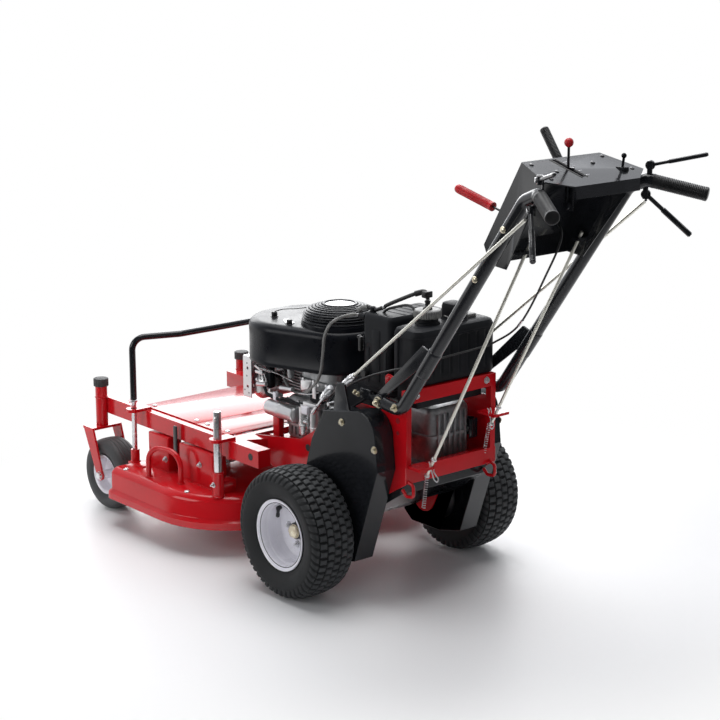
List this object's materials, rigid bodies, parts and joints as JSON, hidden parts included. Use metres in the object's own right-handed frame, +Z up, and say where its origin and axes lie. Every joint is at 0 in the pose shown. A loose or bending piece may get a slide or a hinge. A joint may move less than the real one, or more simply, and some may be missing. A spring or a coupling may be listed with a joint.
{
  "type": "petrol lawn mower",
  "caption": "Commercial walk-behind petrol mower: floating cutting deck on a steel frame with casters, driven rear wheels, vertical engine and handle with control levers.",
  "frame": {"origin": "middle of the bounding box's base, on the ground", "axes": "+Z up, +Y forwards (the way it mows, and its longest extent), +X to its right-hand side"},
  "size_m": [0.965, 1.794, 1.179],
  "materials": {
    "red_paint": "gloss",
    "black_paint": "semi-gloss",
    "white_rim_paint": "gloss",
    "tyre_rubber": "matte",
    "black_plastic": "matte",
    "black_grip_rubber": "satin",
    "red_grip_rubber": "satin",
    "zinc_plate": "zinc plated",
    "bright_steel": "bare",
    "cast_aluminium": "cast",
    "blade_steel": "dark, ground edges"
  },
  "bodies": {
    "chassis": {"side_cover_left": "black_paint", "handle_tube_left": "black_paint", "handle_grip_left": "black_grip_rubber", "side_cover_right": "black_paint", "handle_tube_right": "black_paint", "handle_grip_right": "black_grip_rubber", "rear_axle": "bright_steel", "carrier_frame": "red_paint", "cover_plate": "red_paint", "rear_frame": "red_paint", "gearbox": "cast_aluminium", "lower_guard": "black_paint", "crankcase": "cast_aluminium", "blower_housing": "black_plastic", "recoil_cover": "black_plastic", "muffler": "bright_steel", "muffler_guard": "bright_steel", "oil_filter": "bright_steel", "air_box": "black_plastic", "fuel_tank": "black_plastic", "console": "black_paint", "throttle_cable": "black_grip_rubber", "ignition_lead": "black_grip_rubber", "fuel_hose": "black_grip_rubber"},
    "deck": {"deck_shell": "red_paint", "lift_loop": "red_paint", "lift_bar": "black_paint", "rear_height_pin_left": "zinc_plate", "rear_height_pin_right": "zinc_plate"},
    "rear_wheel_left": {"rear_tyre_left": "tyre_rubber", "rear_rim_left": "white_rim_paint", "rear_hub_left": "bright_steel"},
    "caster_left": {"caster_fork_left": "red_paint"},
    "caster_wheel_left": {"caster_tyre_left": "tyre_rubber", "caster_rim_left": "white_rim_paint"},
    "rear_wheel_right": {"rear_tyre_right": "tyre_rubber", "rear_rim_right": "white_rim_paint", "rear_hub_right": "bright_steel"},
    "caster_right": {"caster_fork_right": "red_paint"},
    "caster_wheel_right": {"caster_tyre_right": "tyre_rubber", "caster_rim_right": "white_rim_paint"},
    "drive_shaft": {"drive_shaft": "bright_steel"},
    "crankshaft": {"crankshaft": "bright_steel"},
    "cutter_left": {"blade_left": "blade_steel", "spindle_left": "bright_steel"},
    "cutter_right": {"blade_right": "blade_steel", "spindle_right": "bright_steel"},
    "chute": {"discharge_chute": "black_plastic"},
    "fuel_cap": {"fuel_cap": "black_plastic"},
    "shift_lever": {"shift_lever": "red_grip_rubber"},
    "brake_lever": {"brake_lever": "red_grip_rubber"},
    "blade_lever": {"blade_lever": "black_grip_rubber"},
    "brake_rod": {"brake_rod": "zinc_plate"},
    "blade_rod": {"blade_rod": "zinc_plate"},
    "presence_lever_left": {"presence_lever_left": "black_paint"},
    "drive_lever_left": {"drive_lever_left": "black_paint"},
    "drive_rod_left": {"drive_rod_left": "zinc_plate"},
    "presence_lever_right": {"presence_lever_right": "black_paint"},
    "drive_lever_right": {"drive_lever_right": "black_paint"},
    "drive_rod_right": {"drive_rod_right": "zinc_plate"}
  },
  "joints": [
    {"name": "deck_height", "type": "slide", "parent": "chassis", "child": "deck", "axis": [0, 0, 1], "range_m": [-0.055, 0.003]},
    {"name": "rear_wheel_left_spin", "type": "hinge", "parent": "chassis", "child": "rear_wheel_left", "pos_m": [-0.415, -0.0766, 0.165], "axis": [1, 0, 0], "continuous": true},
    {"name": "caster_left_swivel", "type": "hinge", "parent": "chassis", "child": "caster_left", "pos_m": [-0.3815, 0.8494, 0.3], "axis": [0, 0, 1], "continuous": true},
    {"name": "caster_wheel_left_spin", "type": "hinge", "parent": "caster_left", "child": "caster_wheel_left", "pos_m": [-0.3815, 0.7954, 0.1016], "axis": [1, 0, 0], "continuous": true},
    {"name": "rear_wheel_right_spin", "type": "hinge", "parent": "chassis", "child": "rear_wheel_right", "pos_m": [0.146, -0.0766, 0.165], "axis": [1, 0, 0], "continuous": true},
    {"name": "caster_right_swivel", "type": "hinge", "parent": "chassis", "child": "caster_right", "pos_m": [0.1125, 0.8494, 0.3], "axis": [0, 0, 1], "continuous": true},
    {"name": "caster_wheel_right_spin", "type": "hinge", "parent": "caster_right", "child": "caster_wheel_right", "pos_m": [0.1125, 0.7954, 0.1016], "axis": [1, 0, 0], "continuous": true},
    {"name": "drive_shaft_spin", "type": "hinge", "parent": "chassis", "child": "drive_shaft", "pos_m": [-0.1345, -0.1946, 0.4], "axis": [1, 0, 0], "continuous": true},
    {"name": "crankshaft_spin", "type": "hinge", "parent": "chassis", "child": "crankshaft", "pos_m": [-0.1345, 0.0904, 0.4], "axis": [0, 0, 1], "continuous": true},
    {"name": "cutter_left_spin", "type": "hinge", "parent": "deck", "child": "cutter_left", "pos_m": [-0.2525, 0.4649, 0.094], "axis": [0, 0, 1], "continuous": true},
    {"name": "cutter_right_spin", "type": "hinge", "parent": "deck", "child": "cutter_right", "pos_m": [0.1345, 0.3219, 0.094], "axis": [0, 0, 1], "continuous": true},
    {"name": "chute_hinge", "type": "hinge", "parent": "deck", "child": "chute", "pos_m": [0.3575, 0.4484, 0.1615], "axis": [0, 1, 0], "range_deg": [-85, 0]},
    {"name": "fuel_cap_turn", "type": "hinge", "parent": "chassis", "child": "fuel_cap", "pos_m": [-0.1585, -0.2686, 0.7], "axis": [0, 0, 1], "range_deg": [0, 90]},
    {"name": "shift_lever_tilt", "type": "hinge", "parent": "chassis", "child": "shift_lever", "pos_m": [-0.1685, -0.7266, 1.03], "axis": [1, 0, 0], "range_deg": [-22, 26]},
    {"name": "brake_lever_pull", "type": "hinge", "parent": "chassis", "child": "brake_lever", "pos_m": [-0.1845, -0.5696, 0.987], "axis": [1, 0, 0], "range_deg": [0, 60]},
    {"name": "blade_lever_pull", "type": "hinge", "parent": "chassis", "child": "blade_lever", "pos_m": [-0.0545, -0.6116, 1.073], "axis": [1, 0, 0], "range_deg": [-45, 30]},
    {"name": "brake_rod_slide", "type": "slide", "parent": "chassis", "child": "brake_rod", "axis": [0, -0.4731, 0.881], "range_m": [-0.001, 0.013]},
    {"name": "blade_rod_slide", "type": "slide", "parent": "chassis", "child": "blade_rod", "axis": [0, -0.4822, 0.876], "range_m": [-0.01, 0.007]},
    {"name": "presence_lever_left_squeeze", "type": "hinge", "parent": "chassis", "child": "presence_lever_left", "pos_m": [-0.3105, -0.7776, 1.1035], "axis": [-0.8388, 0.5445, 0], "range_deg": [-20, 0], "stiffness_Nm_per_rad": 0.5, "springref_deg": 17.19},
    {"name": "drive_lever_left_squeeze", "type": "hinge", "parent": "chassis", "child": "drive_lever_left", "pos_m": [-0.3175, -0.7616, 1.036], "axis": [-0.8388, 0.5445, 0], "range_deg": [0, 22], "stiffness_Nm_per_rad": 0.8, "springref_deg": -17.19},
    {"name": "drive_rod_left_slide", "type": "slide", "parent": "chassis", "child": "drive_rod_left", "axis": [0, -0.7807, 0.6249], "range_m": [-0.001, 0.0055]},
    {"name": "presence_lever_right_squeeze", "type": "hinge", "parent": "chassis", "child": "presence_lever_right", "pos_m": [0.0415, -0.7776, 1.1035], "axis": [-0.8388, -0.5445, 0], "range_deg": [-20, 0], "stiffness_Nm_per_rad": 0.5, "springref_deg": 17.19},
    {"name": "drive_lever_right_squeeze", "type": "hinge", "parent": "chassis", "child": "drive_lever_right", "pos_m": [0.0485, -0.7616, 1.036], "axis": [-0.8388, -0.5445, 0], "range_deg": [0, 22], "stiffness_Nm_per_rad": 0.8, "springref_deg": -17.19},
    {"name": "drive_rod_right_slide", "type": "slide", "parent": "chassis", "child": "drive_rod_right", "axis": [0, -0.7807, 0.6249], "range_m": [-0.001, 0.0055]}
  ],
  "couplings": [
    {"joint": "cutter_right_spin", "follows": "cutter_left_spin", "ratio": 1},
    {"joint": "brake_rod_slide", "follows": "brake_lever_pull", "m_per_rad": 0.01146},
    {"joint": "blade_rod_slide", "follows": "blade_lever_pull", "m_per_rad": 0.012},
    {"joint": "drive_rod_left_slide", "follows": "drive_lever_left_squeeze", "m_per_rad": 0.01024},
    {"joint": "drive_rod_right_slide", "follows": "drive_lever_right_squeeze", "m_per_rad": 0.01024}
  ]
}
